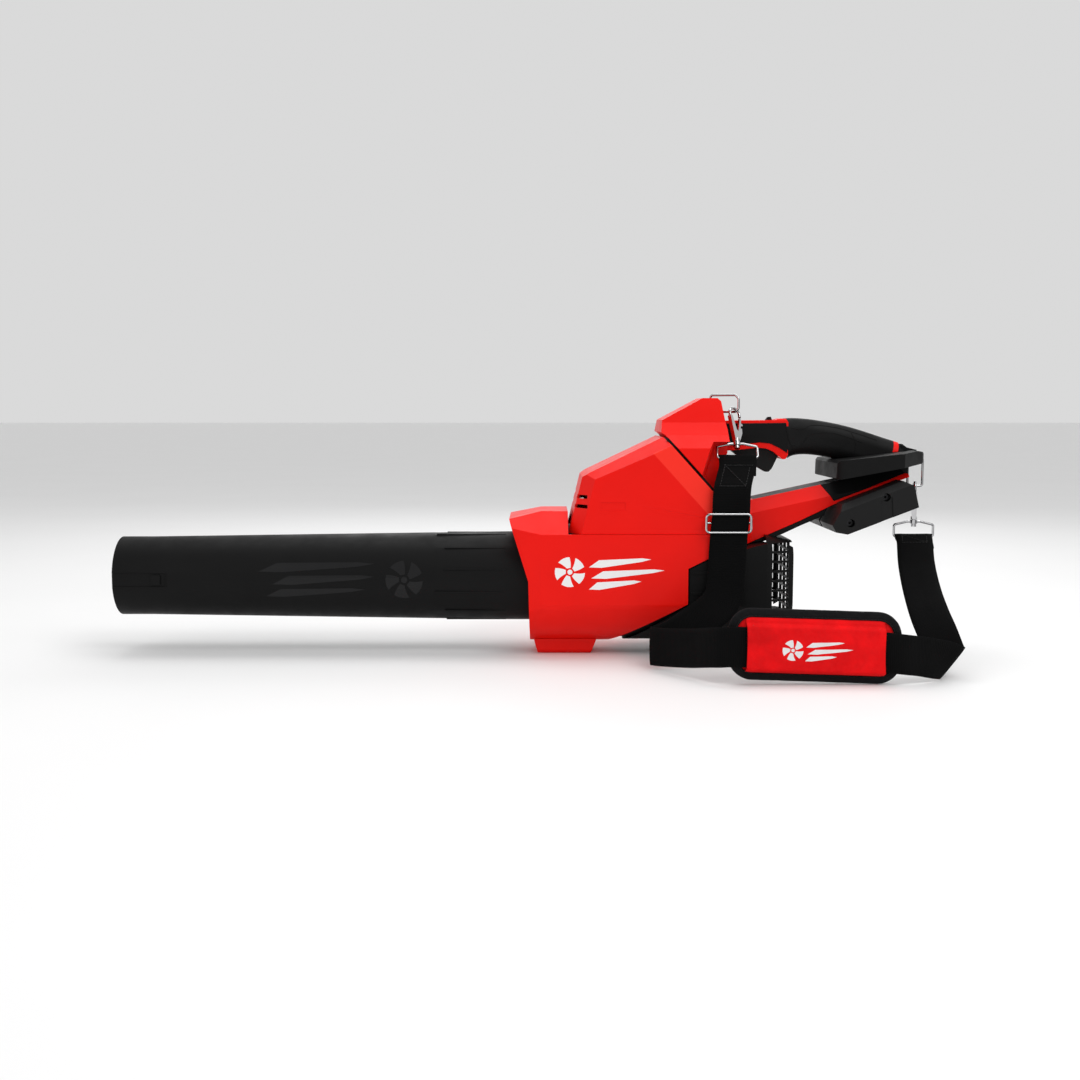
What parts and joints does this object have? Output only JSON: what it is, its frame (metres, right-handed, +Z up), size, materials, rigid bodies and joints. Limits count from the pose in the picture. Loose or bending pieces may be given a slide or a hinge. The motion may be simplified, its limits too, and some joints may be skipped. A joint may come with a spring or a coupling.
{
  "type": "handheld cordless axial leaf blower",
  "caption": "Handheld axial leaf blower with long round nozzle, faceted red casing, pistol grip over a rear arm, two slide-on battery bays, intake grille and clip-on padded shoulder strap.",
  "frame": {"origin": "middle of the front foot's underside on the centre plane", "axes": "+X from the nozzle to the handle's rear end, +Y to the tool's right, +Z up; z = 0 is the surface the feet stand on"},
  "size_m": [1.0666, 0.312, 0.3366],
  "materials": {
    "casing_red": "moulded, fine satin grain",
    "nozzle_black": "moulded, fine grain",
    "housing_black": "moulded, fine grain",
    "grille_black": "moulded",
    "fan_plastic": "glass-filled nylon",
    "grip_rubber": "soft overmould, grooved",
    "lever_grey": "moulded",
    "steel": "zinc plated",
    "motor_iron": "laminated steel",
    "alloy": "die cast",
    "chrome": "bright nickel plate",
    "webbing": "woven polypropylene",
    "pad_fabric": "padded, bound edge",
    "sleeve_fabric": "woven polyester",
    "copper": "plated blades",
    "board_green": "potted board",
    "lead_jacket": "silicone jacket"
  },
  "bodies": {
    "blower": {"arm_end_post": "housing_black", "arm_shell_left": "casing_red", "arm_shell_right": "casing_red", "arm_top_cover": "housing_black", "arm_under_cover": "housing_black", "battery_receptacle_left": "housing_black", "battery_receptacle_right": "housing_black", "battery_terminals": "copper", "body_shell_left": "casing_red", "body_shell_right": "casing_red", "casing_screws": "steel", "control_board": "board_green", "fan_housing": "housing_black", "front_foot": "casing_red", "front_strap_loop": "chrome", "grip_overmould": "grip_rubber", "handle_band": "casing_red", "handle_core_left": "casing_red", "handle_core_right": "casing_red", "handle_end_cap": "housing_black", "handle_panel_left": "housing_black", "handle_panel_right": "housing_black", "head_shell_left": "casing_red", "head_shell_right": "casing_red", "intake_grille": "grille_black", "intake_ring": "housing_black", "joint_gasket": "grip_rubber", "motor_bearings": "steel", "motor_end_bells": "alloy", "motor_stator": "motor_iron", "outlet_duct": "housing_black", "pad_sleeve": "sleeve_fabric", "power_leads": "lead_jacket", "rear_bumper": "housing_black", "rear_foot": "casing_red", "rear_strap_loop": "chrome", "shoulder_pad": "pad_fabric", "stator_vanes": "housing_black", "strap_front_lower": "webbing", "strap_front_upper": "webbing", "strap_rear": "webbing", "tail_cone": "housing_black", "trigger_switch": "lever_grey", "upper_shell_left": "casing_red", "upper_shell_right": "casing_red"},
    "nozzle": {"nozzle_tube": "nozzle_black", "nozzle_catches": "nozzle_black"},
    "fan": {"motor_shaft": "steel", "motor_rotor": "motor_iron", "impeller": "fan_plastic", "fan_nut": "steel"},
    "trigger": {"trigger": "housing_black"},
    "cruise_lever": {"cruise_lever": "lever_grey"},
    "front_ring": {"front_ring": "chrome"},
    "rear_ring": {"rear_ring": "chrome"},
    "front_hook": {"front_hook": "chrome"},
    "front_hook_gate": {"front_hook_gate": "chrome"},
    "rear_hook": {"rear_hook": "chrome"},
    "rear_hook_gate": {"rear_hook_gate": "chrome"},
    "strap_slider": {"strap_slider": "chrome"}
  },
  "joints": [
    {"name": "nozzle_pull", "type": "slide", "parent": "blower", "child": "nozzle", "axis": [-1, 0, 0], "range_m": [0, 0.06]},
    {"name": "fan_spin", "type": "hinge", "parent": "blower", "child": "fan", "pos_m": [0.15, 0, 0.099], "axis": [1, 0, 0], "continuous": true},
    {"name": "trigger_pull", "type": "hinge", "parent": "blower", "child": "trigger", "pos_m": [0.222, 0, 0.273], "axis": [0, -1, 0], "range_deg": [0, 10], "stiffness_Nm_per_rad": 0.6, "springref_deg": -20.05},
    {"name": "cruise_lever_turn", "type": "hinge", "parent": "blower", "child": "cruise_lever", "pos_m": [0.266, 0, 0.2996], "axis": [0, 1, 0], "range_deg": [0, 12]},
    {"name": "front_ring_swing", "type": "hinge", "parent": "blower", "child": "front_ring", "pos_m": [0.19, 0, 0.324], "axis": [0, 0, 1], "range_deg": [-3, 3]},
    {"name": "rear_ring_swing", "type": "hinge", "parent": "blower", "child": "rear_ring", "pos_m": [0.459, 0, 0.2535], "axis": [1, 0, 0], "range_deg": [-4, 4]},
    {"name": "front_hook_swivel", "type": "hinge", "parent": "blower", "child": "front_hook", "pos_m": [0.2185, -0.04875, 0.26717], "axis": [0, 0.5, 0.866], "range_deg": [-8, 8]},
    {"name": "rear_hook_swivel", "type": "hinge", "parent": "blower", "child": "rear_hook", "pos_m": [0.45925, 0, 0.1635], "axis": [0, 0, 1], "range_deg": [-8, 8]},
    {"name": "front_gate_press", "type": "hinge", "parent": "front_hook", "child": "front_hook_gate", "pos_m": [0.22309, -0.03217, 0.28946], "axis": [0.5736, -0.7094, 0.4096], "range_deg": [0, 25], "stiffness_Nm_per_rad": 0.02, "springref_deg": -20.05},
    {"name": "rear_gate_press", "type": "hinge", "parent": "rear_hook", "child": "rear_hook_gate", "pos_m": [0.46022, 0.00551, 0.1911], "axis": [0.9848, -0.1736, 0], "range_deg": [0, 25], "stiffness_Nm_per_rad": 0.02, "springref_deg": -20.05},
    {"name": "strap_slider_travel", "type": "slide", "parent": "blower", "child": "strap_slider", "axis": [0, 0, 1], "range_m": [-0.03, 0.018]}
  ]
}
